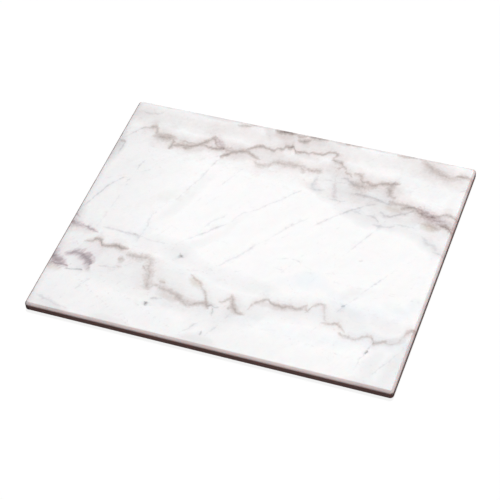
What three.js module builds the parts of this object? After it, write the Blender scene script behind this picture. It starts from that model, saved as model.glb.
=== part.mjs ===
// Marble pastry board: a polished stone slab standing on four stuck-on rubber feet.
// Millimetres, +Z up. The origin is on the worktop, under the middle of the board.

import * as THREE from 'three';

// Slab
const SLAB_LENGTH = 508; // along X
const SLAB_WIDTH = 406.4; // along Y
const SLAB_THICKNESS = 12.7;

// Eased top edge: a bevel all round the slab, with both of its shoulders rounded over
const BEVEL_WIDTH = 3.4; // across the top
const BEVEL_HEIGHT = 3.3; // down the side
const UPPER_SHOULDER_RADIUS = 2;
const LOWER_SHOULDER_RADIUS = 3.9;

// Plan radius at the corners of the flat working face, inside the eased edge
const FACE_CORNER_RADIUS = 0.8;

// Quarter round along the underside
const UNDERSIDE_ARRIS = 0.9;

// Rubber feet, tapered towards the worktop
const FOOT_TOP_DIAMETER = 18;
const FOOT_BASE_DIAMETER = 16.4;
const FOOT_HEIGHT = 2.5;
const FOOT_RIM_RADIUS = 0.7; // round the contact face
const FOOT_INSET = 38; // from the slab's sides to the foot's axis

// Tape discs between the feet and the stone
const TAPE_MARGIN = 0.8; // the foot's top stands out past the tape by this much
const TAPE_THICKNESS = 0.5;

// Fineness of the curved faces
const CORNER_STEPS = 5; // half the facets round a corner
const EDGE_STEPS = 3; // half the facets of each rounding in the edge
const ROUND_FACETS = 40; // round a foot or a tape disc

const marble = new THREE.MeshStandardMaterial({ color: 0xeae5e2, roughness: 0.2, metalness: 0 });
const rubber = new THREE.MeshStandardMaterial({ color: 0x3b3937, roughness: 0.85, metalness: 0 });
const tape = new THREE.MeshStandardMaterial({ color: 0xd8d4cb, roughness: 0.6, metalness: 0 });

// Geometry of the eased edge, seen in section. The lean is measured from the upright side to the bevel.
const bevelLean = Math.atan2(BEVEL_WIDTH, BEVEL_HEIGHT);
const upperTangent = UPPER_SHOULDER_RADIUS * Math.tan((Math.PI / 2 - bevelLean) / 2);
const lowerTangent = LOWER_SHOULDER_RADIUS * Math.tan(bevelLean / 2);
const shoulderFit = Math.min(1, Math.hypot(BEVEL_WIDTH, BEVEL_HEIGHT) / (upperTangent + lowerTangent));
const upperRadius = UPPER_SHOULDER_RADIUS * shoulderFit;
const lowerRadius = LOWER_SHOULDER_RADIUS * shoulderFit;
const easedWidth = BEVEL_WIDTH + upperTangent * shoulderFit;
const easedHeight = BEVEL_HEIGHT + lowerTangent * shoulderFit;

const cornerRadius = FACE_CORNER_RADIUS + easedWidth;
const underside = FOOT_HEIGHT + TAPE_THICKNESS;

// Section through the edge, from the underside to the working face: x is the distance in from the slab's side
// and y the height above the underside.
function edgeSection() {
  const section = new THREE.Path();
  section.absarc(UNDERSIDE_ARRIS, UNDERSIDE_ARRIS, UNDERSIDE_ARRIS, 1.5 * Math.PI, Math.PI, true);
  section.absarc(lowerRadius, SLAB_THICKNESS - easedHeight, lowerRadius, Math.PI, Math.PI - bevelLean, true);
  section.absarc(easedWidth, SLAB_THICKNESS - upperRadius, upperRadius, Math.PI - bevelLean, Math.PI / 2, true);
  return section.getPoints(EDGE_STEPS);
}

// Plan outline of the slab, drawn in from its sides by the given amount, anticlockwise from the +X side
function slabOutline(inset) {
  const x = SLAB_LENGTH / 2 - cornerRadius;
  const y = SLAB_WIDTH / 2 - cornerRadius;
  const radius = cornerRadius - inset;
  const outline = new THREE.Path();
  outline.absarc(x, y, radius, 0, 0.5 * Math.PI);
  outline.absarc(-x, y, radius, 0.5 * Math.PI, Math.PI);
  outline.absarc(-x, -y, radius, Math.PI, 1.5 * Math.PI);
  outline.absarc(x, -y, radius, 1.5 * Math.PI, 2 * Math.PI);
  return outline.getPoints(CORNER_STEPS);
}

// Closed skin through a stack of outlines that have as many points each, capped at both ends
function loft(outlines, heights) {
  const count = outlines[0].length;
  const positions = outlines.flatMap((outline, level) => outline.flatMap((p) => [p.x, p.y, heights[level]]));
  const triangles = [];
  for (let level = 1; level < outlines.length; level += 1) {
    const below = (level - 1) * count;
    const above = level * count;
    for (let i = 0; i < count; i += 1) {
      const next = (i + 1) % count;
      triangles.push(below + i, below + next, above + next);
      triangles.push(below + i, above + next, above + i);
    }
  }
  const topStart = (outlines.length - 1) * count;
  for (const [a, b, c] of THREE.ShapeUtils.triangulateShape(outlines[0], [])) {
    triangles.push(a, c, b);
    triangles.push(topStart + a, topStart + b, topStart + c);
  }
  const geometry = new THREE.BufferGeometry();
  geometry.setAttribute('position', new THREE.Float32BufferAttribute(positions, 3));
  geometry.setIndex(triangles);
  geometry.computeVertexNormals();
  return geometry;
}

// The edge section carried round the plan outline, so that the easing turns the corners with the sides
function slabGeometry() {
  const section = edgeSection();
  const outlines = section.map((point) => slabOutline(point.x));
  const heights = section.map((point) => point.y);
  return loft(outlines, heights);
}

// Foot turned about its axis, standing on its contact face
function footGeometry() {
  const topRadius = FOOT_TOP_DIAMETER / 2;
  const baseRadius = FOOT_BASE_DIAMETER / 2;
  const wallLean = Math.atan2(topRadius - baseRadius, FOOT_HEIGHT);
  const rimTangent = FOOT_RIM_RADIUS * Math.tan((Math.PI / 2 - wallLean) / 2);
  const profile = new THREE.Path();
  profile.moveTo(0, 0);
  profile.lineTo(baseRadius - rimTangent, 0);
  profile.absarc(baseRadius - rimTangent, FOOT_RIM_RADIUS, FOOT_RIM_RADIUS, -Math.PI / 2, -wallLean);
  profile.lineTo(topRadius, FOOT_HEIGHT);
  profile.lineTo(0, FOOT_HEIGHT);
  return new THREE.LatheGeometry(profile.getPoints(EDGE_STEPS), ROUND_FACETS).rotateX(Math.PI / 2);
}

// Tape disc, standing on its lower face
function tapeGeometry() {
  const radius = FOOT_TOP_DIAMETER / 2 - TAPE_MARGIN;
  const disc = new THREE.CylinderGeometry(radius, radius, TAPE_THICKNESS, ROUND_FACETS);
  return disc.rotateX(Math.PI / 2).translate(0, 0, TAPE_THICKNESS / 2);
}

function piece(name, geometry, material) {
  const mesh = new THREE.Mesh(geometry, material);
  mesh.name = name;
  return mesh;
}

const board = new THREE.Group();

const slab = piece('marble_slab', slabGeometry(), marble);
slab.position.z = underside;
board.add(slab);

// One foot and its tape disc under each corner
const footX = SLAB_LENGTH / 2 - FOOT_INSET;
const footY = SLAB_WIDTH / 2 - FOOT_INSET;
const footPlaces = {
  front_left: [-footX, -footY],
  front_right: [footX, -footY],
  rear_left: [-footX, footY],
  rear_right: [footX, footY],
};
for (const [corner, [x, y]] of Object.entries(footPlaces)) {
  const mounting = new THREE.Group();
  mounting.position.set(x, y, 0);
  const foot = piece(`rubber_foot_${corner}`, footGeometry(), rubber);
  const disc = piece(`adhesive_disc_${corner}`, tapeGeometry(), tape);
  disc.position.z = FOOT_HEIGHT;
  mounting.add(foot, disc);
  board.add(mounting);
}

export default board;
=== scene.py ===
import math

import bmesh
import bpy
from mathutils import Euler, Matrix, Vector


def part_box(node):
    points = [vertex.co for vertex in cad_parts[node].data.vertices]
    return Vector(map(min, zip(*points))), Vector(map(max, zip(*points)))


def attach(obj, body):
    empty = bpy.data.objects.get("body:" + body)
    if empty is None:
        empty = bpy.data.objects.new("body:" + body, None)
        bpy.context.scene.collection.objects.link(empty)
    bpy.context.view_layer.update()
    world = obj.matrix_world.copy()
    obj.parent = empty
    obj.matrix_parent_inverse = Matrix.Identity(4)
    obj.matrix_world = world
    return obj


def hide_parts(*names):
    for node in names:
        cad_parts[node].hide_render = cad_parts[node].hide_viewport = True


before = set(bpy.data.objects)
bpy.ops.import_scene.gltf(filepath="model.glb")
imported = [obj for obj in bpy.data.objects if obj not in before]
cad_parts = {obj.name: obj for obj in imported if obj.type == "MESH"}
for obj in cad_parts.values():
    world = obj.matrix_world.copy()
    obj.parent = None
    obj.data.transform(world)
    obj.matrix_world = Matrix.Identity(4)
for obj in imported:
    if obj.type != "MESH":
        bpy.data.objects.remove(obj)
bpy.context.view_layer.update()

MM = 0.001

# Eased top edge of the slab: a bevel with both of its shoulders rounded over
BEVEL_WIDTH = 3.4
BEVEL_HEIGHT = 3.3
UPPER_SHOULDER_RADIUS = 2.0
LOWER_SHOULDER_RADIUS = 3.9
FACE_CORNER_RADIUS = 0.8
UNDERSIDE_ARRIS = 0.9
FLAT_RIM = 0.5  # flat strip beside a rounding, which keeps the shading of the face next to it flat

# Rubber feet and the tape discs that hold them
FOOT_BASE_DIAMETER = 16.4
FOOT_RIM_RADIUS = 0.7
FOOT_LIP_RADIUS = 0.25
TAPE_EDGE_RADIUS = 0.12

# Fineness of the curved faces
EDGE_STEPS = 8
CORNER_STEPS = 12
TURNED_FACETS = 96

# Camera of the photograph, in a frame of 500 by 500
PHOTO_AZIMUTH = 24.034
PHOTO_ELEVATION = 47.982
PHOTO_ROLL = -5.597
PHOTO_DISTANCE = 2247.0
PHOTO_AIM = (2.70, -29.69)
PHOTO_LENS = 120.45
SENSOR_WIDTH = 36.0


def linear(hex_colour):
    """Linear colour, with alpha, of an sRGB hex value."""
    parts = [int(hex_colour[i:i + 2], 16) / 255 for i in (1, 3, 5)]
    return (*[p / 12.92 if p <= 0.04045 else ((p + 0.055) / 1.055) ** 2.4 for p in parts], 1.0)


def add(tree, kind, inputs=None, stops=(), curves=(), **settings):
    """Adds a node with its settings. An input is a value, or the output of another node that feeds it."""
    node = tree.nodes.new("ShaderNode" + kind)
    for name, value in settings.items():
        setattr(node, name, value)
    for socket, value in (inputs or {}).items():
        if isinstance(value, bpy.types.NodeSocket):
            tree.links.new(value, node.inputs[socket])
        else:
            node.inputs[socket].default_value = value
    for number, (position, colour) in enumerate(stops):
        elements = node.color_ramp.elements
        stop = elements[number] if number < len(elements) else elements.new(position)
        stop.position = position
        stop.color = linear(colour)
    for number, points in enumerate(curves):
        curve = node.mapping.curves[number]
        for position, value in points[1:-1]:
            curve.points.new(position, value)
        curve.points[0].location = points[0]
        curve.points[-1].location = points[-1]
    if curves:
        node.mapping.use_clip = False
        node.mapping.extend = "HORIZONTAL"
        node.mapping.update()
    return node


def new_material(name):
    """An empty material and its node tree."""
    material = bpy.data.materials.new(name)
    material.use_nodes = True
    material.node_tree.nodes.clear()
    return material, material.node_tree


def arc(centre, radius, start, end, steps):
    """Points on an arc, from one angle to another, in degrees."""
    angles = [math.radians(start + (end - start) * i / steps) for i in range(steps + 1)]
    return [(centre[0] + radius * math.cos(a), centre[1] + radius * math.sin(a)) for a in angles]


def skin(name, rings, material):
    """A closed piece: a smooth skin through a stack of rings of points, with a flat cap at each end."""
    mesh = bmesh.new()
    loops = [[mesh.verts.new(Vector(point) * MM) for point in ring] for ring in rings]
    for below, above in zip(loops, loops[1:]):
        for i, corner in enumerate(below):
            after = (i + 1) % len(below)
            mesh.faces.new((corner, below[after], above[after], above[i]))
    mesh.faces.new(reversed(loops[0]))
    mesh.faces.new(loops[-1])
    for face in mesh.faces:
        face.smooth = True
    data = bpy.data.meshes.new(name)
    mesh.to_mesh(data)
    mesh.free()
    data.materials.append(material)
    piece = bpy.data.objects.new(name, data)
    bpy.context.scene.collection.objects.link(piece)
    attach(piece, "root")
    return piece


# Veins of the stone. Each has its reach to either side and the points that it runs through:
# millimetres to the right of and behind the middle of the board, and its strength there, where 1 is full.

BROWN_VEINS = [
    # upper vein: hook at the left, and the bar that it drops to
    (9.2, [(-234, 148, 0), (-226, 150, 0.4), (-219, 152, 0.42), (-213, 155.5, 0.66), (-208, 157, 0.62),
           (-204, 156, 0)]),
    (7.9, [(-207.5, 159, 0), (-206.5, 155, 0.54), (-205, 150, 0.49), (-203, 143, 0.49), (-200, 137, 0.39),
           (-198, 133, 0)]),
    (16.0, [(-210, 138, 0), (-203, 139, 0.5), (-196, 140, 0.62), (-188, 140.5, 0.64), (-180, 141, 0.58),
            (-174, 142, 0.4), (-168, 142, 0)]),
    (8.0, [(-200, 145, 0), (-192, 145, 0.42), (-183, 145, 0.5), (-176, 144, 0.45), (-168, 143, 0)]),
    (7.9, [(-176, 144, 0), (-175, 138, 0.49), (-173, 132, 0.54), (-174, 124, 0.69), (-174.5, 119, 0)]),
    # upper vein: ridge with its peak, the strands beside it and the strand that passes under the peak
    (8.5, [(-177, 127, 0), (-170, 129, 0.59), (-160, 130.5, 0.59), (-152, 132, 0.64), (-144, 134, 0.64),
           (-137, 139, 0.69), (-130, 146, 0.69), (-124, 152, 0.64), (-120, 159, 0.69), (-118, 162, 0)]),
    (7.9, [(-123, 161, 0), (-120, 158, 0.69), (-114, 151, 0.54), (-111, 146, 0.49), (-104, 141, 0.49),
           (-100, 139, 0)]),
    (7.0, [(-166, 140.5, 0), (-157, 140, 0.45), (-150, 139, 0.5), (-140, 140, 0.45), (-130, 141.5, 0.35),
           (-122, 142, 0)]),
    (15.0, [(-172, 131, 0), (-164, 132, 0.42), (-152, 133, 0.5), (-142, 136, 0.45), (-132, 140, 0)]),
    (8.0, [(-162, 128, 0), (-156, 128, 0.5), (-152, 127.5, 0.66), (-147, 129, 0.5), (-140, 133, 0)]),
    (7.9, [(-142, 137, 0), (-137, 139, 0.49), (-130, 140.5, 0.54), (-122, 139, 0.59), (-112, 138.5, 0.73),
           (-105, 140, 0.83), (-99, 141.5, 0.78), (-94, 141, 0)]),
    # upper vein: wedge in the middle
    (15.0, [(-103, 142, 0), (-96, 141, 0.62), (-90, 140.5, 0.58), (-84, 141, 0.48), (-77, 142, 0)]),
    (9.2, [(-99, 124, 0), (-95, 128.5, 0.75), (-91, 132, 0.8), (-87, 136, 0.76), (-84, 139, 0.69),
           (-78, 141, 0.69), (-72, 144, 0.69), (-66, 145, 0.64), (-60, 143, 0.64), (-55, 140, 0.64),
           (-50, 137.5, 0.59), (-45, 136, 0.49), (-40, 134, 0)]),
    # upper vein: upper strand, up to its step and on to the right
    (7.9, [(-74, 142, 0), (-66, 149, 0.59), (-60, 155, 0.64), (-54, 159, 0.69), (-48, 161, 0.69),
           (-42, 159.5, 0.59), (-36, 160, 0.64), (-28, 157.5, 0.64), (-25, 163, 0.59), (-20, 164, 0.64),
           (-16, 168, 0.6), (-13, 170.5, 0.66), (-9, 170, 0.78), (-5, 173, 0.83), (-2, 170, 0.78),
           (1, 165, 0.73), (4, 163, 0.49), (8, 162, 0)]),
    (6.9, [(-1, 164, 0), (3, 163.5, 0.69), (10, 165, 0.69), (14, 166.5, 0.69), (20, 165.5, 0.64),
           (24, 168, 0.59), (32, 168, 0.59), (38, 169, 0.64), (43, 171, 0.64), (47, 175, 0.59),
           (51, 177, 0.59), (56, 177.5, 0.64), (60, 176, 0.59), (63, 174, 0)]),
    (6.9, [(60, 179, 0), (60.5, 175, 0.59), (59.5, 169, 0.44), (58, 165, 0.49), (60, 162, 0.39),
           (63, 159, 0)]),
    (8.5, [(55, 164, 0), (60, 163, 0.58), (64, 161, 0.66), (70, 161, 0.7), (73, 157, 0.6), (76, 152, 0)]),
    (6.9, [(67, 149, 0), (70, 150, 0.49), (73, 151, 0.59), (76, 154, 0.59), (79, 153, 0.54),
           (81, 148, 0.49), (83, 145, 0.49), (87, 144, 0.49), (91, 141, 0.39), (95, 138, 0)]),
    # upper vein: lower branch
    (15.9, [(-52, 132, 0), (-45, 128, 0.44), (-38, 125, 0.49), (-30, 127, 0.49), (-24, 131, 0.49),
            (-20, 136, 0.49), (-12, 137, 0.49), (-5, 136, 0.49), (3, 138, 0.49), (10, 138, 0.49),
            (20, 139, 0.39), (28, 138, 0.29), (36, 136, 0)]),
    (8.0, [(-49, 130, 0), (-45, 128, 0.45), (-38, 125.5, 0.52), (-30, 127, 0.5), (-24, 131, 0.42),
           (-20, 135.5, 0.45), (-12, 136.5, 0.5), (-5, 136, 0.48), (3, 138, 0.48), (10, 138, 0.5),
           (20, 139, 0.42), (26, 138, 0)]),
    (14.0, [(16, 141, 0), (22, 134, 0.42), (24, 130, 0.42), (26, 124, 0)]),
    (11.0, [(22, 138, 0), (30, 136, 0.46), (38, 135.5, 0.54), (46, 136, 0.52), (50, 135, 0.25),
            (54, 133, 0)]),
    # upper vein: step down to the right band
    (9.0, [(97, 148, 0), (100, 146, 0.49), (104, 145, 0.54), (105.5, 138, 0.49), (108, 136, 0.54),
           (112, 133, 0.64), (116, 135, 0.59), (119, 133, 0.64), (125, 131, 0.69), (130, 133, 0.69),
           (136, 138, 0.69), (140, 139, 0.69), (148, 140, 0.73), (153, 142, 0.76), (157, 143, 0.66),
           (162, 144, 0)]),
    (14.0, [(154, 148, 0), (152, 140, 0.62), (151, 133, 0.6), (151, 127, 0.6), (153, 121, 0.52),
            (156, 117, 0.45), (159, 112, 0)]),
    (24.0, [(90, 125, 0), (101, 125, 0.5), (109, 125, 0.6), (117, 126, 0.52), (125, 128, 0.36),
            (136, 130, 0)]),
    (13.0, [(92, 148, 0), (99, 146, 0.5), (105, 144, 0.52), (109, 138, 0.4), (112, 132, 0)]),
    (10.6, [(156, 117, 0), (160, 116, 0.49), (164, 115, 0)]),
    # right band
    (12.0, [(154, 108, 0), (159, 107, 0.55), (164, 106, 0.54), (172, 107, 0.56), (180, 106.5, 0.56),
            (186, 105.5, 0.58), (192, 104, 0.6), (198, 101.5, 0.62), (203, 99.5, 0.7), (208, 97.5, 0.7),
            (213, 95, 0)]),
    (8.5, [(173, 99, 0), (179, 102, 0.72), (186, 105, 0.8), (192, 106, 0.72), (198, 106, 0)]),
    (9.0, [(204, 98, 0), (209, 97, 0.6), (214, 96, 0.7), (220, 97, 0.74), (226, 99, 0.62), (232, 102, 0.56),
           (238, 105.5, 0.56), (246, 104, 0.6), (252, 102, 0.62), (262, 100, 0)]),
    (18.4, [(205, 82, 0), (214, 80, 0.34), (222, 80, 0.4), (230, 79, 0.52), (238, 80, 0)]),
    (6.9, [(230, 87, 0), (235, 85, 0.7), (245, 83, 0.8), (250, 78, 0.75), (260, 72, 0)]),
    # back edge
    (10.0, [(-97, 192, 0), (-92, 193, 0.45), (-85, 194, 0.5), (-78, 196, 0.5), (-71, 199, 0.42),
            (-66, 204, 0)]),
    (7.5, [(-42, 196, 0), (-35, 197, 0.8), (-28, 197.5, 1), (-20, 198, 1), (-13, 198.5, 0.85),
           (-6, 199, 0)]),
    (9.0, [(-5, 186, 0), (1, 187, 0.6), (6, 187, 0.75), (11, 189, 0.7), (15, 193, 0.4), (17, 198, 0)]),
    (10.0, [(-12, 198, 0), (-6, 196, 0.45), (0, 196, 0.6), (6, 198, 0.5), (10, 201, 0)]),
    (9.2, [(10, 199, 0), (16, 198, 0.7), (25, 199, 0.7), (34, 199, 0.65), (40, 201, 0)]),
    (8.0, [(64, 200, 0), (68, 199, 0.6), (72, 199.5, 0.6), (78, 198, 0.5), (86, 198.5, 0.5), (92, 200, 0)]),
    (8.0, [(140, 198, 0), (147, 197, 0.5), (157, 197.5, 0.55), (165, 199, 0.5), (170, 201, 0)]),
    (9.5, [(172, 202, 0), (178, 197, 0.36), (186, 192, 0.4), (194, 186, 0.38), (205, 182, 0.38),
           (215, 178, 0.38), (225, 177, 0.4), (234, 181, 0.6), (240, 181, 0.68), (246, 181, 0.6),
           (254, 180, 0.4), (262, 180, 0)]),
    (20.0, [(174, 200, 0), (184, 192, 0.46), (194, 186, 0.53), (206, 180, 0.54), (218, 175, 0.52),
            (228, 174, 0.42), (238, 177, 0.3), (252, 180, 0)]),
    # left side
    (9.6, [(-251, 118, 0), (-245, 117, 0.5), (-239, 115, 0)]),
    (8.3, [(-221, -79, 0), (-217, -77, 0.46), (-210, -74.5, 0.58), (-206, -71.5, 0.68), (-203, -70, 0.72),
           (-199, -71, 0.76), (-195, -74.5, 0.74), (-190, -79, 0.64), (-186, -78, 0.64),
           (-180, -75.5, 0.69), (-174, -74, 0.78), (-170, -74.5, 0.8), (-164, -76, 0.74), (-159, -75, 0.55),
           (-154, -72, 0)]),
    (15.1, [(-164, -95, 0), (-160, -95, 0.51), (-156, -95, 0.51), (-152, -95, 0)]),
    (11.0, [(-162, -108, 0), (-157, -108, 0.32), (-151, -108, 0)]),
    # lower vein: descent at the left
    (17.0, [(-157, -84, 0), (-152, -84.5, 0.45), (-147, -85, 0.5), (-141, -84, 0.5), (-135, -84, 0.54),
            (-128, -82.5, 0.52), (-122, -82, 0.43), (-116, -84, 0)]),
    (19.0, [(-124, -79, 0), (-120, -84, 0.46), (-118, -90, 0.47), (-117, -98, 0.47), (-114, -103, 0.5),
            (-112, -109, 0.5), (-111, -115, 0.5), (-110, -120, 0.48), (-108, -126, 0.5), (-106, -131, 0.44),
            (-103, -135, 0)]),
    (7.2, [(-126, -93, 0), (-124, -97, 0.43), (-120, -103, 0.47), (-117, -106, 0.43), (-115, -110, 0)]),
    (9.0, [(-108, -132, 0), (-105, -131, 0.43), (-102, -129, 0.43), (-99, -125, 0.39), (-96, -124, 0.43),
           (-92, -122, 0)]),
    (10.0, [(-96, -117, 0), (-90, -117, 0.45), (-84, -116, 0)]),
    (14.0, [(-94, -126, 0), (-89, -127, 0.4), (-84, -128, 0.44), (-78, -128, 0.44), (-72, -130, 0.48),
            (-66, -132, 0.5), (-61, -134, 0.54), (-56, -137, 0.52), (-50, -142, 0.52), (-45, -143, 0.52),
            (-38, -140, 0.48), (-32, -138, 0.48), (-27, -136, 0.48), (-22, -136, 0.4), (-16, -138, 0)]),
    (7.0, [(-59, -92, 0), (-54, -95, 0.44), (-48, -100, 0.47), (-42, -102.5, 0.5), (-39, -105, 0.45),
           (-36, -110, 0.45), (-32, -114, 0.45), (-28, -118, 0.48), (-25, -124, 0.52), (-23, -130, 0.52),
           (-20, -136, 0.65), (-17, -140, 0.55), (-14, -143, 0)]),
    # lower vein: peak in the middle
    (7.8, [(-6, -129, 0), (-3, -127, 0.47), (0, -125, 0.47), (3, -122, 0.47), (6, -118, 0.48),
           (8, -113, 0.46), (9, -108, 0)]),
    (9.0, [(6, -109, 0), (8, -113, 0.46), (10, -117, 0.54), (12, -123, 0.6), (14, -128, 0.69),
           (17, -132, 0.69), (21, -136, 0.69), (25, -138, 0.69), (30, -138.5, 0.52), (34, -139, 0)]),
    (6.6, [(6, -135, 0), (9, -134, 0.43), (14, -132.5, 0.52), (18, -132, 0)]),
    # lower vein: right half
    (9.6, [(33, -131, 0), (36, -124, 0.36), (38, -120, 0.42), (41, -115, 0.46), (45, -112, 0.5),
           (49, -108, 0.56), (54, -106, 0.56), (58, -107.5, 0.6), (62, -110, 0.6), (68, -111, 0.65),
           (74, -111.5, 0.6), (78, -112.5, 0.56), (83, -109, 0.52), (90, -107.5, 0.52), (99, -108, 0.47),
           (103, -104, 0.47), (106, -101, 0.39), (108, -98, 0)]),
    (6.0, [(105, -99, 0), (107, -105, 0.39), (110, -109, 0.43), (112, -112, 0)]),
    (6.5, [(107, -113, 0), (110, -109, 0.43), (113, -103, 0.43), (117, -97, 0.47), (121, -94, 0.52),
           (125, -92, 0.56), (128, -93, 0.52), (131, -96, 0)]),
    (8.0, [(126, -89, 0), (128, -93, 0.43), (130, -99, 0.4), (132, -105, 0.3), (134, -111, 0.3),
           (137, -117, 0.26), (139, -121, 0)]),
    (7.8, [(131, -124, 0), (136, -122, 0.34), (143, -121, 0.47), (148, -119.5, 0.52), (154, -118.5, 0.56),
           (158, -121, 0.52), (162, -123.5, 0.47), (165, -126.5, 0.43), (168, -130, 0)]),
    (9.0, [(158, -131, 0), (163, -133, 0.43), (168, -135, 0.43), (174, -134.5, 0.47), (180, -136, 0.47),
           (186, -134.5, 0.43), (190, -131, 0.43), (195, -128, 0.43), (200, -126, 0.43), (203, -128, 0.52),
           (206, -131, 0.56), (208, -135, 0.56), (212, -134, 0.52), (216, -131, 0.47), (220, -128.5, 0.43),
           (224, -128, 0)]),
    (8.3, [(218, -128, 0), (222, -130, 0.3), (228, -131, 0.26), (234, -128, 0.24), (238, -123, 0.26),
           (240, -117, 0.25), (243, -110, 0.35), (246, -104, 0.42), (250, -100, 0.43), (260, -97, 0)]),
]

GREY_VEINS_AND_ARRIS_SHADE = [
    # in the upper vein and below it
    (7.4, [(77, 134, 0), (82, 133, 0.36), (87, 133, 0.43), (92, 130, 0.47), (97, 128, 0.47),
           (100, 126, 0.36), (104, 123, 0)]),
    (6.1, [(58, 124, 0), (65, 124, 0.25), (75, 124, 0.25), (86, 125, 0.29), (92, 126, 0)]),
    (7.0, [(98, 107, 0), (106, 108, 0.42), (112, 109.5, 0.52), (120, 109, 0.5), (130, 108.5, 0.5),
           (140, 107, 0.52), (150, 105, 0.5), (156, 103, 0.42), (162, 100, 0)]),
    (11.2, [(48, 130, 0), (47, 125, 0.29), (46, 118, 0.36), (45, 110, 0.36), (46, 104, 0.29),
            (48, 100, 0)]),
    (8.4, [(43, 102, 0), (48, 101.5, 0.36), (56, 102, 0.36), (62, 104, 0.29), (67, 106, 0)]),
    (3.5, [(74, 90, 0), (80, 90, 0.3), (88, 90.5, 0.35), (96, 92, 0.3), (102, 93, 0)]),
    # below the right band
    (6.1, [(155, 77, 0), (159, 80, 0.43), (166, 82, 0.5), (172, 87, 0.47), (177, 90, 0.43), (184, 93, 0.36),
           (190, 98, 0.29), (194, 101, 0)]),
    (5.6, [(149, 88, 0), (151, 86, 0.36), (154, 84, 0.4), (157, 80, 0.43), (160, 76, 0)]),
    (6.1, [(112, 77, 0), (117, 77, 0.36), (120, 77, 0.36), (123, 76, 0.29), (128, 74, 0)]),
    (6.6, [(132, 75, 0), (137, 75, 0.36), (142, 75, 0.43), (147, 73, 0.43), (150, 70, 0.4), (152, 66, 0.29),
           (153, 62, 0)]),
    (7.4, [(146, 61, 0), (150, 61, 0.36), (156, 60, 0.43), (162, 61, 0.36), (168, 62, 0.32),
           (172, 64, 0.36), (177, 67, 0)]),
    (6.6, [(172, 69, 0), (178, 70, 0.25), (198, 70, 0.22), (204, 70, 0)]),
    (14.0, [(214, 60, 0), (220, 55, 0.29), (228, 47, 0.36), (234, 48, 0.32), (238, 42, 0.32),
            (243, 38, 0)]),
    (7.0, [(236, 36, 0), (240, 35, 0.36), (246, 34, 0.4), (250, 33, 0.36), (260, 32, 0)]),
    # left side, and a painted line of shade along its arris
    (3.2, [(-254.4, -260, 1.3), (-254.4, 0, 1.3), (-254.4, 260, 1.3)]),
    (8.0, [(-246, 184, 0), (-237, 182, 0.25), (-228, 180, 0.3), (-216, 183, 0.28), (-210, 189, 0.2),
           (-206, 196, 0)]),
    (5.6, [(-245, 122, 0), (-241, 110, 0.45), (-241, 100, 0.4), (-243, 88, 0)]),
    (4.0, [(-247, 118, 0), (-240, 132, 0.3), (-232, 143, 0.35), (-226, 150, 0.3), (-222, 153, 0)]),
    (2.9, [(-227, -133, 0), (-222, -131, 0.55), (-214, -129.5, 0.6), (-208, -128, 0.7), (-204, -127.5, 0.8),
           (-201, -127, 0)]),
    # beside the lower vein
    (3.8, [(-18, -139, 0), (-15, -136, 0.6), (-10, -137, 0.5), (-6, -137, 0.5), (-1, -134, 0)]),
    (3.8, [(-12, -137, 0), (-10, -141, 0.45), (-8, -145, 0.5), (-7, -149, 0.4), (-6, -153, 0)]),
    (4.8, [(-96, -147, 0), (-92, -146, 0.4), (-85, -144, 0.35), (-78, -145, 0)]),
    # specks
    (5.1, [(-87, -58, 0), (-85, -63, 0.4), (-83, -67.5, 0.9), (-80, -68.5, 0.6), (-76, -69, 0)]),
    (4.2, [(-97, -153, 0), (-97, -157.5, 0.9), (-97, -162, 0)]),
    (3.5, [(149, -89, 0), (152, -87, 0.7), (155, -85, 0)]),
    (3.2, [(204, -148, 0), (203, -152, 0.8), (203, -156, 0)]),
    (3.2, [(178, -41, 0), (181, -40, 0.5), (184, -39, 0)]),
    (3.2, [(148, -7, 0), (151, -7, 0.5), (154, -6, 0)]),
    (3.8, [(-11, -178, 0), (-10, -183, 0.6), (-9, -188, 0)]),
    # right side
    (7.0, [(242, 150, 0), (247, 155, 0.28), (253, 160, 0.38), (264, 166, 0)]),
]

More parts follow.
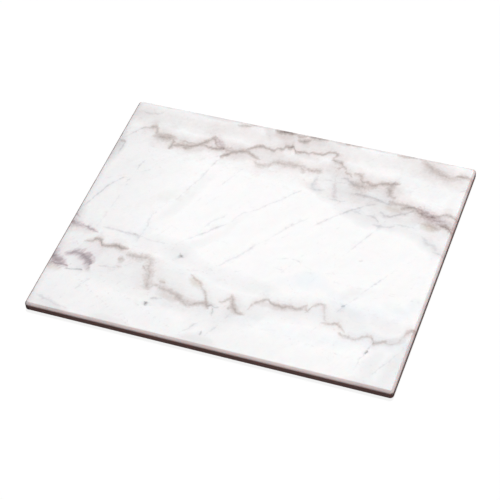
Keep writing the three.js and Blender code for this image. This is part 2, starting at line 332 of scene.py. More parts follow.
HAIRLINES = [
    # left part of the face
    (4.3, [(-256, -30, 0.26), (-246, -13, 0.47), (-240, 4, 0.51), (-234, 18, 0.51), (-228, 31, 0.47),
           (-221, 42, 0.38), (-210, 50, 0.21), (-201, 54, 0)]),
    (5.6, [(-210, 40, 0), (-206, 48, 0.34), (-204, 62, 0.21), (-202, 75, 0.47), (-200, 84, 0.26),
           (-196, 94, 0)]),
    (6.8, [(-204, 62, 0), (-194, 67, 0.3), (-186, 72, 0.26), (-178, 78, 0)]),
    (5.6, [(-214, -48, 0), (-212, -30, 0.21), (-209, 0, 0.17), (-206, 30, 0.17), (-205, 45, 0)]),
    (7.5, [(-205, -46, 0), (-190, -47, 0.32), (-170, -48, 0.36), (-152, -48, 0.36), (-135, -51, 0.26),
           (-115, -51, 0.17), (-95, -48, 0)]),
    (7.4, [(-152, -62, 0), (-149, -42, 0.34), (-147, -26, 0.3), (-147, -4, 0.34), (-142, 10, 0.17),
           (-130, 28, 0.26), (-124, 40, 0.3), (-116, 62, 0.26), (-109, 82, 0.26), (-104, 102, 0.26),
           (-98, 120, 0)]),
    (5.6, [(-80, 70, 0), (-74, 80, 0.17), (-66, 96, 0.21), (-58, 112, 0)]),
    # across the middle
    (5.0, [(-96, -46, 0), (-82, -32, 0.26), (-72, -22, 0.34), (-62, -13, 0.51), (-54, -3, 0.55),
           (-47, 3, 0.42), (-38, 14, 0.17), (-27, 33, 0.3), (-12, 44, 0.3), (2, 60, 0.34), (13, 71, 0.26),
           (24, 84, 0.34), (36, 98, 0)]),
    (7.4, [(-74, -18, 0), (-66, 2, 0.26), (-58, 12, 0.3), (-50, 22, 0.13), (-42, 34, 0)]),
    (7.4, [(-34, -72, 0), (-20, -58, 0.3), (-10, -45, 0.34), (2, -28, 0.34), (12, -13, 0.17), (28, 8, 0.26),
           (38, 24, 0.3), (46, 33, 0.26), (60, 48, 0)]),
    (5.4, [(70, 34, 0), (79, 46, 0.38), (84, 51, 0.47), (94, 62, 0.28), (102, 70, 0.46), (110, 77, 0.48),
           (120, 86, 0.42), (132, 94, 0.26), (142, 100, 0)]),
    (5.0, [(122, -12, 0), (130, 4, 0.17), (136, 16, 0.3), (142, 30, 0.3), (149, 42, 0.3), (154, 55, 0.26),
           (158, 66, 0)]),
    (5.6, [(40, -34, 0), (48, -32, 0.26), (58, -30, 0.13), (66, -29, 0.26), (76, -35, 0.17), (84, -38, 0)]),
    (5.4, [(146, -104, 0), (153, -88, 0.28), (162, -74, 0.14), (171, -57, 0.22), (180, -41, 0.36),
           (190, -25, 0.24), (198, -14, 0.17), (208, 0, 0)]),
    # along the front
    (5.0, [(196, -186, 0), (199, -166, 0.3), (203, -150, 0.34), (206, -138, 0)]),
    (6.2, [(218, -190, 0), (224, -176, 0.26), (232, -162, 0.26), (240, -148, 0.3), (247, -130, 0)]),
    (5.6, [(-38, -192, 0), (-27, -178, 0.38), (-20, -168, 0.26), (-8, -150, 0)]),
    (6.8, [(-6, -186, 0), (2, -174, 0.34), (8, -160, 0.21), (16, -140, 0)]),
    (5.6, [(-206, -170, 0), (-199, -162, 0.21), (-194, -152, 0.21), (-187, -141, 0.17), (-182, -130, 0)]),
    (5.6, [(-192, -120, 0), (-180, -114, 0.3), (-168, -112, 0.3), (-150, -109, 0)]),
    (6.8, [(-246, -180, 0), (-234, -187, 0.42), (-224, -188, 0.42), (-214, -193, 0.42), (-204, -194, 0.26),
           (-190, -190, 0)]),
]

TUFTS = [
    # at the left front corner
    (16.0, [(-242, -105, 0), (-234, -104, 0.4), (-227, -101.5, 0.58), (-220, -100.5, 0.6),
            (-212, -102, 0.64), (-205, -105.5, 0.7), (-200, -109.5, 0.72), (-196, -114, 0.66),
            (-195, -119, 0.46), (-193, -126, 0)]),
    (9.0, [(-214, -97, 0), (-208, -98, 0.4), (-202, -99, 0.4), (-196, -103, 0.34), (-192, -110, 0.25),
           (-190, -119, 0)]),
    (19.0, [(-276, -98, 0.55), (-256, -111, 0.76), (-248, -117, 0.74), (-240, -122, 0.66),
            (-232, -126, 0.5), (-222, -130, 0)]),
    (5.0, [(-253, -124, 0), (-247, -125, 0.57), (-240, -127, 0.72), (-232, -125.5, 0.72),
           (-227, -126.5, 0.65), (-222, -127, 0)]),
]

PLUM_VEINS = [
    # left edge
    (13.0, [(-280, -46, 0.6), (-262, -48, 0.65), (-250, -50, 0.68), (-243, -52, 0.62), (-236, -53, 0.5),
            (-224, -55, 0)]),
    (7.5, [(-241, -51, 0), (-237, -51, 0.5), (-230, -53, 0.6), (-226, -52, 0.75), (-222, -55, 0.7),
           (-213, -57, 0.6), (-208, -59, 0)]),
    (5.1, [(-258, -29, 0), (-251, -34, 0.6), (-247, -37, 0.4), (-243, -41, 0)]),
    # right band
    (20.0, [(190, 108, 0), (203, 104, 0.4), (213, 101, 0.5), (222, 96, 0.5), (232, 92, 0.4),
            (244, 87, 0.25), (256, 84, 0.22), (270, 82, 0.15)]),
    (16.0, [(204, 98, 0), (214, 94, 0.42), (223, 92, 0.6), (230, 92, 0.58), (238, 93, 0.34), (247, 94, 0)]),
    # upper vein
    (12.5, [(-117, 161, 0), (-110, 154, 0.48), (-105, 148, 0.45), (-99, 139, 0)]),
    (13.0, [(70, 136, 0), (72, 127, 0.16), (75, 115, 0.24), (78, 105, 0.33), (81, 96, 0.33), (86, 85, 0)]),
]

ROSE_TINTS = [
    # along the back of the board
    (34.0, [(-300, 188, 0.45), (-240, 178, 0.4), (-200, 178, 0.28), (-150, 178, 0.32), (-120, 178, 0.55),
            (-100, 180, 0.5), (-50, 178, 0.42), (-5, 184, 0.65), (25, 186, 0.62), (65, 180, 0.5),
            (110, 178, 0.35), (150, 184, 0.4), (190, 182, 0.56), (225, 174, 0.48), (250, 170, 0.34),
            (300, 168, 0.25)]),
    # round the upper vein
    (32.0, [(-262, 140, 0.1), (-205, 142, 0.12), (-180, 138, 0.32), (-150, 136, 0.45), (-120, 146, 0.58),
            (-95, 146, 0.4), (-76, 140, 0.65), (-60, 142, 0.58), (-34, 150, 0.62), (0, 140, 0.5),
            (40, 140, 0.4), (70, 146, 0.55), (100, 138, 0.52), (130, 134, 0.5), (155, 124, 0.48),
            (180, 114, 0.4), (215, 100, 0.2), (240, 98, 0)]),
    (44.0, [(-280, 128, 0.15), (-225, 136, 0.1), (-180, 130, 0.2), (-150, 126, 0.22), (-110, 122, 0.15),
            (-60, 122, 0.2), (0, 120, 0.22), (50, 116, 0.25), (90, 108, 0.25), (130, 102, 0.2),
            (170, 92, 0.2), (220, 96, 0.2), (270, 104, 0.1)]),
    (12.0, [(-6, 161, 0), (12, 159, 0.4), (28, 159, 0.5), (44, 157, 0)]),
    # along the back edge
    (6.0, [(-300, 202, 0.5), (-100, 202, 0.55), (100, 202, 0.5), (300, 202, 0.5)]),
    (14.0, [(-54, 190, 0), (-38, 188, 0.65), (-20, 187, 0.8), (-5, 189, 0.7), (8, 192, 0.6), (26, 194, 0.3),
            (40, 196, 0)]),
    (9.0, [(168, 196, 0), (190, 186, 0.4), (210, 178, 0.4), (225, 172, 0.4), (240, 176, 0.35),
           (262, 178, 0)]),
    (16.0, [(-58, 206, 0.3), (-47, 196, 0.55), (-42, 185, 0.55), (-38, 172, 0.45), (-32, 156, 0)]),
    (9.0, [(44, 204, 0), (56, 199, 0.6), (66, 198, 0.6), (78, 200, 0)]),
    # right band
    (16.0, [(196, 96, 0), (215, 90, 0.5), (235, 90, 0.5), (262, 92, 0.4)]),
    (12.0, [(146, 94, 0), (160, 92, 0.3), (174, 91, 0.4), (188, 93, 0.45), (202, 94, 0)]),
    (7.0, [(229, 115, 0), (238, 116, 0.25), (247, 117, 0)]),
    # left side and lower vein
    (12.0, [(-216, -78, 0), (-190, -78, 0.3), (-175, -76, 0.36), (-163, -78, 0.3), (-145, -82, 0.2),
            (-126, -84, 0)]),
    (10.0, [(-94, -136, 0), (-74, -139, 0.45), (-56, -144, 0)]),
    (11.0, [(-112, -122, 0), (-90, -124, 0.25), (-66, -130, 0.3), (-46, -136, 0.4), (-26, -134, 0.4),
            (-8, -134, 0)]),
    (8.0, [(4, -108, 0), (9, -116, 0.22), (14, -123, 0.35), (22, -131, 0)]),
    (9.0, [(36, -114, 0), (60, -112, 0.4), (80, -112, 0.4), (98, -109, 0.3), (116, -102, 0)]),
    (12.0, [(196, -130, 0), (214, -131, 0.3), (232, -124, 0.4), (244, -110, 0.5), (256, -102, 0.5),
            (275, -96, 0.3)]),
    (8.0, [(-206, -118, 0), (-198, -122, 0.4), (-190, -126, 0)]),
]

OCHRE_TINTS = [
    # lower vein
    (8.0, [(-58, -101, 0), (-54, -103, 0.6), (-49, -105, 0.8), (-43, -108, 0.6), (-38, -112, 0)]),
    (7.0, [(-100, -114, 0), (-90, -114, 0.4), (-80, -118, 0)]),
    # left edge
    (9.0, [(-264, -132, 0.6), (-250, -133, 0.7), (-240, -134, 0.6), (-228, -136, 0)]),
    (14.0, [(-264, -58, 0.05), (-236, -60, 0.3), (-212, -62, 0)]),
    # right band
    (10.0, [(146, 98, 0), (156, 97, 0.5), (168, 97, 0.55), (178, 98, 0.35), (188, 100, 0)]),
    (10.0, [(208, 79, 0), (215, 77, 0.7), (222, 76, 0.85), (228, 77, 0.4), (234, 79, 0)]),
    # upper vein
    (24.0, [(-250, 164, 0), (-218, 158, 0.24), (-185, 142, 0.3), (-160, 132, 0.28), (-136, 122, 0)]),
    # beside the left hairline
    (26.0, [(-172, 8, 0), (-145, 28, 0.2), (-125, 40, 0.18), (-98, 60, 0)]),
]

GREY_CLOUDS_AND_LEFT_SHADE = [
    # between the upper vein and the right band
    (46.0, [(34, 152, 0), (70, 128, 0.3), (100, 108, 0.42), (130, 102, 0.54), (158, 86, 0.5),
            (195, 80, 0.42), (235, 66, 0.3), (262, 60, 0.3)]),
    (20.0, [(20, 112, 0), (44, 108, 0.25), (62, 98, 0.32), (85, 90, 0.4), (112, 84, 0)]),
    (26.0, [(76, 92, 0), (104, 78, 0.4), (125, 72, 0.5), (150, 68, 0.5), (180, 64, 0.4), (210, 58, 0.38),
            (235, 44, 0.5), (262, 34, 0.35)]),
    # along the back
    (7.5, [(-300, 201.5, 0.38), (-190, 201, 0.42), (-145, 199, 0.7), (-95, 201, 0.42), (100, 201, 0.42),
           (300, 201, 0.42)]),
    (20.0, [(-60, 206, 0.15), (-46, 194, 0.2), (-40, 180, 0.15), (-34, 162, 0)]),
    (60.0, [(110, 172, 0), (160, 152, 0.2), (200, 148, 0.24), (240, 150, 0.15), (290, 150, 0.15)]),
    # beside the long hairlines
    (20.0, [(-94, -62, 0), (-72, -42, 0.3), (-54, -24, 0.2), (-40, 0, 0.15), (-28, 26, 0.1), (-8, 54, 0)]),
    (28.0, [(-158, -78, 0), (-148, -46, 0.34), (-142, -20, 0.2), (-128, 6, 0.28), (-118, 30, 0.22),
            (-106, 62, 0.18), (-102, 100, 0)]),
    # left front quarter
    (75.0, [(-290, -110, 0.3), (-250, -100, 0.4), (-200, -104, 0.5), (-160, -112, 0.52), (-120, -114, 0.48),
            (-85, -122, 0.5), (-45, -132, 0.4), (-5, -146, 0.45), (36, -156, 0.2), (70, -160, 0)]),
    (36.0, [(-172, -54, 0), (-140, -56, 0.36), (-120, -56, 0.34), (-88, -62, 0.5), (-60, -76, 0.25),
            (-20, -86, 0.3), (30, -92, 0.3), (80, -94, 0)]),
    (14.0, [(-118, -148, 0), (-110, -160, 0.36), (-104, -172, 0.2), (-98, -184, 0)]),
    (20.0, [(-104, -140, 0), (-84, -144, 0.4), (-68, -150, 0.5), (-44, -154, 0)]),
    # along the right half of the lower vein
    (42.0, [(-30, -124, 0), (0, -122, 0.3), (30, -128, 0.4), (60, -120, 0.34), (100, -110, 0.42),
            (140, -108, 0.42), (180, -116, 0.38), (215, -126, 0.3), (250, -136, 0.25), (300, -140, 0.2)]),
    (22.0, [(138, -74, 0), (158, -64, 0.3), (176, -54, 0.12), (200, -46, 0)]),
    (20.0, [(196, -64, 0), (220, -72, 0.16), (244, -78, 0.05), (262, -80, 0)]),
    # along the left side: a wide band of painted shade where the light falls off towards the left, and a
    # narrow band at the edge
    (220.0, [(-258, -230, 0.36), (-258, -60, 0.42), (-258, 60, 0.42), (-258, 230, 0.42)]),
    (30.0, [(-257, -230, 0.4), (-256, -110, 0.45), (-256, -76, 0.3), (-256, -44, 0.9), (-255, 0, 0.45),
            (-256, 50, 0.4), (-256, 100, 0.95), (-257, 150, 0.4), (-257, 230, 0.3)]),
    # right side
    (24.0, [(240, -220, 0.25), (240, -60, 0.05), (240, 10, 0.05), (240, 55, 0.4), (240, 80, 0.4),
            (240, 110, 0.25), (240, 220, 0.2)]),
    (30.0, [(184, -98, 0), (213, -106, 0.38), (240, -102, 0.25), (290, -98, 0.2)]),
    (26.0, [(206, -225, 0.3), (214, -180, 0.4), (220, -152, 0.35), (226, -126, 0)]),
    (28.0, [(232, -225, 0.3), (240, -175, 0.46), (252, -135, 0.4), (262, -95, 0.15)]),
    # along the front
    (18.0, [(-290, -198, 0.4), (-236, -196, 0.62), (-208, -197, 0.66), (-178, -201, 0.35),
            (-140, -197, 0.6), (-70, -202, 0.15), (-10, -194, 0.62), (30, -202, 0.25), (100, -202, 0.2),
            (180, -202, 0.2), (215, -198, 0.45), (262, -200, 0.25)]),
    (100.0, [(-320, -186, 0.42), (-250, -186, 0.4), (-150, -188, 0.34), (-60, -190, 0.26), (10, -192, 0.28),
             (80, -196, 0.2), (160, -198, 0.15), (260, -200, 0.2)]),
]

COOL_TINTS = [
    # behind and in front of the right half of the lower vein
    (34.0, [(30, -90, 0), (50, -80, 0.15), (75, -68, 0.22), (95, -58, 0.36), (125, -68, 0.22),
            (160, -88, 0.3), (205, -90, 0.25), (240, -60, 0.25), (290, -52, 0.3)]),
    (34.0, [(0, -150, 0), (30, -146, 0.15), (70, -148, 0.16), (115, -150, 0.2), (155, -146, 0.26),
            (200, -134, 0.2), (240, -128, 0.2), (300, -130, 0.2)]),
]


def strengths(tree, place, veins):
    """For each vein in turn: its reach, the offset of a place from its course, and its strength alongside.

    The third coordinate of the place is 1, so that a dot product measures from the vein's start.
    """
    for reach, points in veins:
        start = Vector(points[0][:2])
        chord = Vector(points[-1][:2]) - start
        forward = chord.normalized()
        sideways = Vector((-forward.y, forward.x))
        course = []
        strength = []
        for x, y, strong in points:
            offset = Vector((x, y)) - start
            share = offset.dot(forward) / chord.length
            course.append((share, offset.dot(sideways)))
            strength.append((share, strong))
        lengthwise = (*forward / chord.length, -start.dot(forward) / chord.length)
        along = add(tree, "VectorMath", {0: place, 1: lengthwise}, operation="DOT_PRODUCT").outputs["Value"]
        crosswise = (*sideways, -start.dot(sideways))
        across = add(tree, "VectorMath", {0: place, 1: crosswise}, operation="DOT_PRODUCT").outputs["Value"]
        middle = add(tree, "FloatCurve", {"Value": along}, curves=(course,)).outputs[0]
        strong = add(tree, "FloatCurve", {"Value": along}, curves=(strength,)).outputs[0]
        yield reach, add(tree, "Math", {0: across, 1: middle}, operation="SUBTRACT").outputs[0], strong


def vein_fields(tree, place, veins):
    """How strong the veins and the wider stains round them are at a place: they fade away from a course."""
    vein = UNMARKED
    stain = UNMARKED
    for reach, offset, strong in strengths(tree, place, veins):
        distance = add(tree, "Math", {0: offset}, operation="ABSOLUTE").outputs[0]
        near = add(tree, "Math", {0: distance, 1: -1 / reach, 2: strong}, operation="MULTIPLY_ADD")
        vein = add(tree, "Math", {0: vein, 1: near.outputs[0]}, operation="MAXIMUM").outputs[0]
        fade = -1 / (reach * STAIN_SPREAD)
        far = add(tree, "Math", {0: distance, 1: fade, 2: strong}, operation="MULTIPLY_ADD")
        stain = add(tree, "Math", {0: stain, 1: far.outputs[0]}, operation="MAXIMUM").outputs[0]
    return vein, stain


def tint_fields(tree, place, tints):
    """How strong the soft tints are at a place: they fall off as a dome does."""
    field = UNMARKED
    for reach, offset, strong in strengths(tree, place, tints):
        square = add(tree, "Math", {0: offset, 1: offset}, operation="MULTIPLY").outputs[0]
        near = add(tree, "Math", {0: square, 1: -1 / reach ** 2, 2: strong}, operation="MULTIPLY_ADD")
        field = add(tree, "Math", {0: field, 1: near.outputs[0]}, operation="MAXIMUM").outputs[0]
    return (field,)


# White calcite marble, sawn, then polished on the face and honed on the edge, the sides and the underside.
# It gives the eye a cool white ground with faint drifts of grey, soft rose stains and ragged brown veins that
# run through the stone, and a clear gloss on the face alone. Sizes and throws are in millimetres.
STONE_LEAN = (0.55, -0.35, 0.0)
UNMARKED = -1.0
STAIN_SPREAD = 2.8
RAGGED_SIZE = 8.0
RAGGED_THROW = 6.0
DRIFT_SIZE = 30.0
DRIFT_THROW = 14.0
THROW_NOISE = {"Detail": 4.0, "Roughness": 0.6}
NOISE_MIDDLE = (0.5, 0.5, 0.5)
BLOTCH_SIZE = 11.0
BLOTCH_NOISE = {"Detail": 5.0, "Roughness": 0.65}
GRAIN_SIZE = 3.5
GRAIN_NOISE = {"Detail": 3.0, "Roughness": 0.6}
CLOUD_SIZE = 60.0
CLOUD_STRETCH = 2.0
CLOUD_NOISE = {"Scale": 1.0, "Detail": 7.0, "Roughness": 0.8}
BEDDING_ANGLE = 50.0
TUFT_SIZE = 3.0
TUFT_STRETCH = 4.0
TUFT_ANGLE = -35.0
TUFT_NOISE = {"Scale": 1.0, "Detail": 2.0}
HONED_BELOW = 0.7
POLISHED_ABOVE = 0.95
POLISHED_ROUGHNESS = 0.2
POLISHED_SHINE = 0.5
HONED_ROUGHNESS = 0.6
HONED_SHINE = 0.02
MARBLE_IOR = 1.5
TRANSLUCENCY = 0.5
GLOW_TINT = (1.0, 0.6, 0.5)
GLOW_DEPTH = 3.0


def polished_marble():
    material, tree = new_material("polished_white_marble")
    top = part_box("marble_slab")[1].z / MM

    # Place in the stone, in millimetres, leaning with the depth so that veins cross the edge at a slant
    here = add(tree, "TexCoord")
    place = add(tree, "VectorMath", {0: here.outputs["Object"], "Scale": 1 / MM}, operation="SCALE")
    split = add(tree, "SeparateXYZ", {"Vector": place.outputs[0]})
    depth = add(tree, "Math", {0: split.outputs["Z"], 1: top}, operation="SUBTRACT")
    leaning = {0: depth.outputs[0], 1: STONE_LEAN, 2: place.outputs[0]}
    place = add(tree, "VectorMath", leaning, operation="MULTIPLY_ADD").outputs[0]

    # The same place thrown about by noise: a little for the ragged veins, more for the drifting stains
    thrown = []
    for size, throw in ((RAGGED_SIZE, RAGGED_THROW), (DRIFT_SIZE, DRIFT_THROW)):
        noise = add(tree, "TexNoise", {"Vector": place, "Scale": 1 / size, **THROW_NOISE})
        shift = add(tree, "VectorMath", {0: noise.outputs["Color"], 1: NOISE_MIDDLE}, operation="SUBTRACT")
        moving = {0: shift.outputs[0], 1: (throw, throw, throw), 2: place}
        moved = add(tree, "VectorMath", moving, operation="MULTIPLY_ADD")
        flattening = {0: moved.outputs[0], 1: (1.0, 1.0, 0.0), 2: (0.0, 0.0, 1.0)}
        thrown.append(add(tree, "VectorMath", flattening, operation="MULTIPLY_ADD").outputs[0])
    ragged, drifting = thrown

    # Blotches and a fine grain that thicken, fray and break the veins
    blotch = add(tree, "TexNoise", {"Vector": place, "Scale": 1 / BLOTCH_SIZE, **BLOTCH_NOISE})
    grain = add(tree, "TexNoise", {"Vector": ragged, "Scale": 1 / GRAIN_SIZE, **GRAIN_NOISE})

    # Ground with clouds drawn out along the bedding
    bedding = add(tree, "Mapping", {"Vector": drifting, "Rotation": (0.0, 0.0, math.radians(BEDDING_ANGLE)),
                                    "Scale": (CLOUD_SIZE * CLOUD_STRETCH, CLOUD_SIZE, CLOUD_SIZE)},
                  vector_type="TEXTURE")
    cloud = add(tree, "TexNoise", {"Vector": bedding.outputs["Vector"], **CLOUD_NOISE})
    ground = add(tree, "ValToRGB", {"Fac": cloud.outputs["Fac"]},
                 stops=((0.2, "#F3F4F5"), (0.5, "#F9FAFB"), (0.8, "#FFFFFF")))
    colour = ground.outputs["Color"]

    # Teeth of the tufted patches
    comb = add(tree, "Mapping", {"Vector": ragged, "Rotation": (0.0, 0.0, math.radians(TUFT_ANGLE)),
                                 "Scale": (TUFT_SIZE, TUFT_SIZE * TUFT_STRETCH, TUFT_SIZE)},
               vector_type="TEXTURE")
    teeth = add(tree, "TexNoise", {"Vector": comb.outputs["Vector"], **TUFT_NOISE})

    # Each kind of tint and vein darkens the ground with its colours, and a vein stains the stone round it.
    # Noise raises or lowers it by up to half of the given amount.
    kinds = (
        # grey clouds, and the painted shade towards the left side
        (tint_fields(tree, drifting, GREY_CLOUDS_AND_LEFT_SHADE), blotch, 0.2, (
            ((0.0, "#FFFFFF"), (1.0, "#DEDDDD")),)),
        (tint_fields(tree, drifting, COOL_TINTS), blotch, 0.2, (
            ((0.0, "#FFFFFF"), (1.0, "#E2EAF2")),)),
        (tint_fields(tree, drifting, ROSE_TINTS), blotch, 0.5, (
            ((0.0, "#FFFFFF"), (1.0, "#E0D9D7")),)),
        (tint_fields(tree, drifting, OCHRE_TINTS), blotch, 0.5, (
            ((0.0, "#FFFFFF"), (1.0, "#ECE7DF")),)),
        (vein_fields(tree, ragged, BROWN_VEINS), grain, 0.6, (
            ((0.0, "#FFFFFF"), (0.2, "#F7F5F4"), (0.4, "#EBE7E5"), (0.6, "#DBD5D3"), (0.8, "#C6BFBC"),
             (1.0, "#9C9592")),
            ((0.0, "#FFFFFF"), (0.3, "#FBF9F9"), (0.6, "#F4F1F0"), (1.0, "#E9E4E2")))),
        (vein_fields(tree, ragged, PLUM_VEINS), grain, 0.7, (
            ((0.0, "#FFFFFF"), (0.3, "#F1EDEE"), (0.6, "#D6CED0"), (1.0, "#A0969A")),
            ((0.0, "#FFFFFF"), (0.5, "#FAF7F8"), (1.0, "#F0EAEC")))),
        (vein_fields(tree, ragged, TUFTS), teeth, 0.8, (
            ((0.0, "#FFFFFF"), (0.25, "#EEEAEC"), (0.5, "#CBC3C6"), (0.8, "#AEA5A9"), (1.0, "#978D92")),
            ((0.0, "#FFFFFF"), (0.5, "#F8F5F6"), (1.0, "#EEE8EA")))),
        (vein_fields(tree, ragged, HAIRLINES), blotch, 1.5, (
            ((0.0, "#FFFFFF"), (0.3, "#F4F4F5"), (0.6, "#E2E2E3"), (1.0, "#C4C4C4")),
            ((0.0, "#FFFFFF"), (0.5, "#FAFAFB"), (1.0, "#F0F0F1")))),
        # grey veins, and the painted line of shade along the left arris
        (vein_fields(tree, ragged, GREY_VEINS_AND_ARRIS_SHADE), grain, 0.5, (
            ((0.0, "#FFFFFF"), (0.3, "#F2F2F3"), (0.6, "#DCDBDB"), (1.0, "#959290")),
            ((0.0, "#FFFFFF"), (0.5, "#F8F8F9"), (1.0, "#EDEDEE")))),
    )
    for fields, noise, amount, ramps in kinds:
        swing = {0: noise.outputs["Fac"], 1: amount, 2: -amount / 2}
        shift = add(tree, "Math", swing, operation="MULTIPLY_ADD")
        for field, stops in zip(fields, ramps):
            uneven = add(tree, "Math", {0: field, 1: shift.outputs[0]}, operation="ADD")
            tone = add(tree, "ValToRGB", {"Fac": uneven.outputs[0]}, stops=stops)
            darkened = add(tree, "VectorMath", {0: colour, 1: tone.outputs["Color"]}, operation="MULTIPLY")
            colour = darkened.outputs[0]

    # Painted glow: the colour is made warmer on the edges, sides and underside, for light that has run
    # through the thin stone and comes out warmer
    facing = add(tree, "NewGeometry")
    upright = add(tree, "SeparateXYZ", {"Vector": facing.outputs["Normal"]})
    painted_glow = add(tree, "ValToRGB", {"Fac": upright.outputs["Z"]},
                 stops=((0.0, "#FFF0EE"), (0.65, "#FFF0EE"), (1.0, "#FFFFFF")))
    colour = add(tree, "VectorMath", {0: colour, 1: painted_glow.outputs["Color"]}, operation="MULTIPLY").outputs[0]

    # Polish on the face, fading into the honed edge, sides and underside
    finish = {"Value": upright.outputs["Z"], "From Min": HONED_BELOW, "From Max": POLISHED_ABOVE}
    roughness = add(tree, "MapRange", {**finish, "To Min": HONED_ROUGHNESS, "To Max": POLISHED_ROUGHNESS})
    shine = add(tree, "MapRange", {**finish, "To Min": HONED_SHINE, "To Max": POLISHED_SHINE})
    stone = add(tree, "BsdfPrincipled", {
        "Base Color": colour,
        "Roughness": roughness.outputs["Result"],
        "Specular IOR Level": shine.outputs["Result"],
        "IOR": MARBLE_IOR,
        "Subsurface Weight": TRANSLUCENCY,
        "Subsurface Radius": GLOW_TINT,
        "Subsurface Scale": GLOW_DEPTH * MM,
    })
    add(tree, "OutputMaterial", {"Surface": stone.outputs["BSDF"]})
    return material


# Black rubber, moulded in a spark-eroded tool: deep grey and dull, with a faint bloom and an even grain.
# The grain is drawn coarser than the real one, so that it shows. Sizes are in millimetres.
RUBBER_GRAIN = 0.35
RUBBER_GRAIN_DEPTH = 0.05
RUBBER_GRAIN_STRENGTH = 0.35
RUBBER_BLOOM = 6.0
RUBBER_DETAIL = 3.0
RUBBER_ROUGHNESS = 0.8
RUBBER_IOR = 1.52


def moulded_rubber():
    material, tree = new_material("moulded_black_rubber")
    here = add(tree, "TexCoord").outputs["Object"]
    grain = add(tree, "TexNoise", {"Vector": here, "Scale": 1 / (RUBBER_GRAIN * MM), "Detail": RUBBER_DETAIL})
    bloom = add(tree, "TexNoise", {"Vector": here, "Scale": 1 / (RUBBER_BLOOM * MM), "Detail": RUBBER_DETAIL})
    tone = add(tree, "ValToRGB", {"Fac": bloom.outputs["Fac"]}, stops=((0.3, "#2E2C2B"), (0.7, "#3F3D3B")))
    bump = add(tree, "Bump", {"Height": grain.outputs["Fac"], "Strength": RUBBER_GRAIN_STRENGTH,
                              "Distance": RUBBER_GRAIN_DEPTH * MM})
    rubber = add(tree, "BsdfPrincipled", {"Base Color": tone.outputs["Color"], "Roughness": RUBBER_ROUGHNESS,
                                          "IOR": RUBBER_IOR, "Normal": bump.outputs["Normal"]})
    add(tree, "OutputMaterial", {"Surface": rubber.outputs["BSDF"]})
    return material


# Acrylic foam tape: off-white, with the fine open cells of the foam along its cut edge.
# The cells are drawn coarser than the real ones, so that they show. Sizes are in millimetres.
FOAM_CELL = 0.2
FOAM_CELL_DEPTH = 0.04
FOAM_CELL_STRENGTH = 0.4
FOAM_ROUGHNESS = 0.7
FOAM_IOR = 1.48


def acrylic_foam():
    material, tree = new_material("acrylic_foam_tape")
    here = add(tree, "TexCoord").outputs["Object"]
    cells = add(tree, "TexVoronoi", {"Vector": here, "Scale": 1 / (FOAM_CELL * MM)}).outputs["Distance"]
    tone = add(tree, "ValToRGB", {"Fac": cells}, stops=((0.1, "#C9C4B8"), (0.6, "#DEDAD0")))
    bump = add(tree, "Bump", {"Height": cells, "Strength": FOAM_CELL_STRENGTH,
                              "Distance": FOAM_CELL_DEPTH * MM})
    foam = add(tree, "BsdfPrincipled", {"Base Color": tone.outputs["Color"], "Roughness": FOAM_ROUGHNESS,
                                        "IOR": FOAM_IOR, "Normal": bump.outputs["Normal"]})
    add(tree, "OutputMaterial", {"Surface": foam.outputs["BSDF"]})
    return material


def slab_outline(inset, height, low, high):
    """Plan outline of the slab, drawn in from its sides, at a height above its underside."""
    corner_radius = FACE_CORNER_RADIUS + eased_edge()[0]
    radius = corner_radius - inset
    points = []
    for quarter, (x, y) in enumerate(((high.x, high.y), (low.x, high.y), (low.x, low.y), (high.x, low.y))):
        centre = (x / MM - math.copysign(corner_radius, x), y / MM - math.copysign(corner_radius, y))
        points += arc(centre, radius, 90 * quarter, 90 * quarter + 90, CORNER_STEPS)
    return [(x, y, low.z / MM + height) for x, y in points]


def eased_edge():
    """Width and height that the eased edge takes from the face and the side, and the lean of its bevel."""
    lean = math.atan2(BEVEL_WIDTH, BEVEL_HEIGHT)
    width = BEVEL_WIDTH + UPPER_SHOULDER_RADIUS * math.tan((math.pi / 2 - lean) / 2)
    height = BEVEL_HEIGHT + LOWER_SHOULDER_RADIUS * math.tan(lean / 2)
    return width, height, math.degrees(lean)


def edge_section(thickness):
    """Section through the edge, from the underside to the face: distance in from the side, and height."""
    width, height, lean = eased_edge()
    arris = arc((UNDERSIDE_ARRIS, UNDERSIDE_ARRIS), UNDERSIDE_ARRIS, 270, 180, EDGE_STEPS)
    lower_centre = (LOWER_SHOULDER_RADIUS, thickness - height)
    lower = arc(lower_centre, LOWER_SHOULDER_RADIUS, 180, 180 - lean, EDGE_STEPS)
    upper_centre = (width, thickness - UPPER_SHOULDER_RADIUS)
    upper = arc(upper_centre, UPPER_SHOULDER_RADIUS, 180 - lean, 90, EDGE_STEPS)
    return [(UNDERSIDE_ARRIS + FLAT_RIM, 0.0), *arris, *lower, *upper, (width + FLAT_RIM, thickness)]


def make_slab():
    low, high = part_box("marble_slab")
    rings = [slab_outline(inset, height, low, high) for inset, height in edge_section((high.z - low.z) / MM)]
    slab = skin("polished_slab", rings, polished_marble())
    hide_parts("marble_slab")


def turned(name, profile, node, material):
    """A piece turned about the upright axis of the CAD node that it replaces, from radii and heights."""
    low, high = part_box(node)
    middle = (low + high) / 2 / MM
    angles = [2 * math.pi * i / TURNED_FACETS for i in range(TURNED_FACETS)]
    rings = []
    for radius, height in profile:
        circle = [(radius * math.cos(a), radius * math.sin(a)) for a in angles]
        rings.append([(middle.x + x, middle.y + y, low.z / MM + height) for x, y in circle])
    piece = skin(name, rings, material)
    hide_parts(node)
    return piece


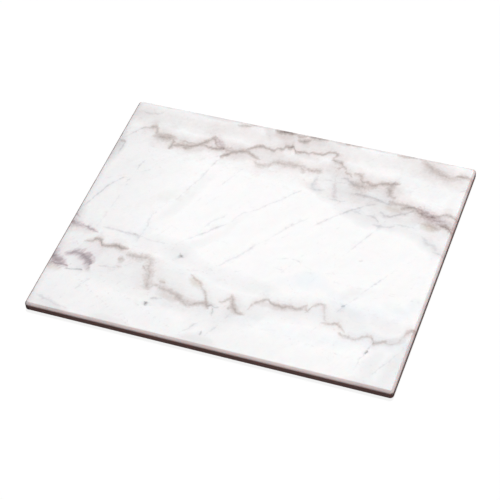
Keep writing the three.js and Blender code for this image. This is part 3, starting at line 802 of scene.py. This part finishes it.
def make_feet():
    rubber = moulded_rubber()
    foam = acrylic_foam()
    for corner in ("front_left", "front_right", "rear_left", "rear_right"):
        node = "rubber_foot_" + corner
        low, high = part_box(node)
        height = (high.z - low.z) / MM
        top_radius = (high.x - low.x) / MM / 2
        base_radius = FOOT_BASE_DIAMETER / 2
        lean = math.degrees(math.atan2(top_radius - base_radius, height))
        rim_in = base_radius - FOOT_RIM_RADIUS * math.tan(math.radians(90 - lean) / 2)
        lip = FOOT_LIP_RADIUS
        profile = [
            (rim_in - FLAT_RIM, 0.0),
            *arc((rim_in, FOOT_RIM_RADIUS), FOOT_RIM_RADIUS, -90, -lean, EDGE_STEPS),
            *arc((top_radius - lip, height - lip), lip, 0, 90, EDGE_STEPS),
            (top_radius - lip - FLAT_RIM, height),
        ]
        foot = turned("moulded_foot_" + corner, profile, node, rubber)

        node = "adhesive_disc_" + corner
        low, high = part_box(node)
        height = (high.z - low.z) / MM
        radius = (high.x - low.x) / MM / 2
        edge = TAPE_EDGE_RADIUS
        profile = [
            (radius - edge - FLAT_RIM, 0.0),
            *arc((radius - edge, edge), edge, -90, 0, EDGE_STEPS),
            *arc((radius - edge, height - edge), edge, 0, 90, EDGE_STEPS),
            (radius - edge - FLAT_RIM, height),
        ]
        disc = turned("tape_disc_" + corner, profile, node, foam)


# Studio: a soft light from high above; floor and surroundings are white to the eye and dark to the stone
KEY_TILT_BACK = 10.0
KEY_TILT_RIGHT = 1.0
KEY_SPREAD = 8.0
KEY_STRENGTH = 1.02 * math.pi
FLOOR_SIZE = 12.0
FLOOR_GAP = 0.1
FLOOR_GLOW = 0.88
FLOOR_SHADE = "#646464"
FLOOR_BROWN = "#5A4A48"
ROOM_BROWN = "#3B3230"


def seen_directly(tree):
    """1 for rays from the camera, off reflections and through clear pieces; 0 for light between surfaces."""
    path = add(tree, "LightPath")
    seen = path.outputs["Is Camera Ray"]
    for kind in ("Is Glossy Ray", "Is Transmission Ray"):
        seen = add(tree, "Math", {0: seen, 1: path.outputs[kind]}, operation="MAXIMUM").outputs[0]
    return seen


def make_floor():
    material, tree = new_material("pale_studio_floor")
    dark = add(tree, "BsdfDiffuse", {"Color": linear(FLOOR_BROWN)})
    pale = add(tree, "BsdfDiffuse", {"Color": linear(FLOOR_SHADE)})
    glow = add(tree, "Emission", {"Color": linear("#FFFFFF"), "Strength": FLOOR_GLOW})
    white = add(tree, "AddShader", {0: pale.outputs[0], 1: glow.outputs[0]})
    shown = add(tree, "MixShader", {0: seen_directly(tree), 1: dark.outputs[0], 2: white.outputs[0]})
    add(tree, "OutputMaterial", {"Surface": shown.outputs[0]})
    mesh = bmesh.new()
    bmesh.ops.create_grid(mesh, x_segments=1, y_segments=1, size=FLOOR_SIZE / 2)
    data = bpy.data.meshes.new("studio_floor")
    mesh.to_mesh(data)
    mesh.free()
    data.materials.append(material)
    floor = bpy.data.objects.new("studio_floor", data)
    floor.location.z = -FLOOR_GAP * MM
    bpy.context.scene.collection.objects.link(floor)


def make_surroundings():
    world = bpy.data.worlds.new("studio_surroundings")
    world.use_nodes = True
    tree = world.node_tree
    tree.nodes.clear()
    dark = add(tree, "Background", {"Color": linear(ROOM_BROWN), "Strength": 1.0})
    white = add(tree, "Background", {"Color": linear("#FFFFFF"), "Strength": 1.0})
    shown = add(tree, "MixShader", {0: seen_directly(tree), 1: dark.outputs[0], 2: white.outputs[0]})
    add(tree, "OutputWorld", {"Surface": shown.outputs[0]})
    bpy.context.scene.world = world


def make_light():
    lamp = bpy.data.lights.new("overhead_softbox", "SUN")
    lamp.energy = KEY_STRENGTH
    lamp.angle = math.radians(KEY_SPREAD)
    key = bpy.data.objects.new("overhead_softbox", lamp)
    key.rotation_euler = Euler((math.radians(-KEY_TILT_BACK), math.radians(KEY_TILT_RIGHT), 0.0))
    key.visible_glossy = False
    bpy.context.scene.collection.objects.link(key)


def make_camera():
    azimuth = math.radians(PHOTO_AZIMUTH)
    elevation = math.radians(PHOTO_ELEVATION)
    out = Vector((math.sin(azimuth) * math.cos(elevation), -math.cos(azimuth) * math.cos(elevation),
                  math.sin(elevation)))
    aim = Vector((PHOTO_AIM[0] * MM, PHOTO_AIM[1] * MM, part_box("marble_slab")[1].z))
    lens = bpy.data.cameras.new("photo_camera")
    lens.sensor_width = SENSOR_WIDTH
    lens.lens = PHOTO_LENS
    camera = bpy.data.objects.new("photo_camera", lens)
    upright = (-out).to_track_quat("-Z", "Y").to_matrix().to_4x4()
    roll = Matrix.Rotation(math.radians(PHOTO_ROLL), 4, "Z")
    camera.matrix_world = Matrix.Translation(aim + out * PHOTO_DISTANCE * MM) @ upright @ roll
    bpy.context.scene.collection.objects.link(camera)
    bpy.context.scene.camera = camera


make_slab()
make_feet()
make_floor()
make_surroundings()
make_light()
make_camera()
bpy.context.scene.view_settings.view_transform = "Standard"
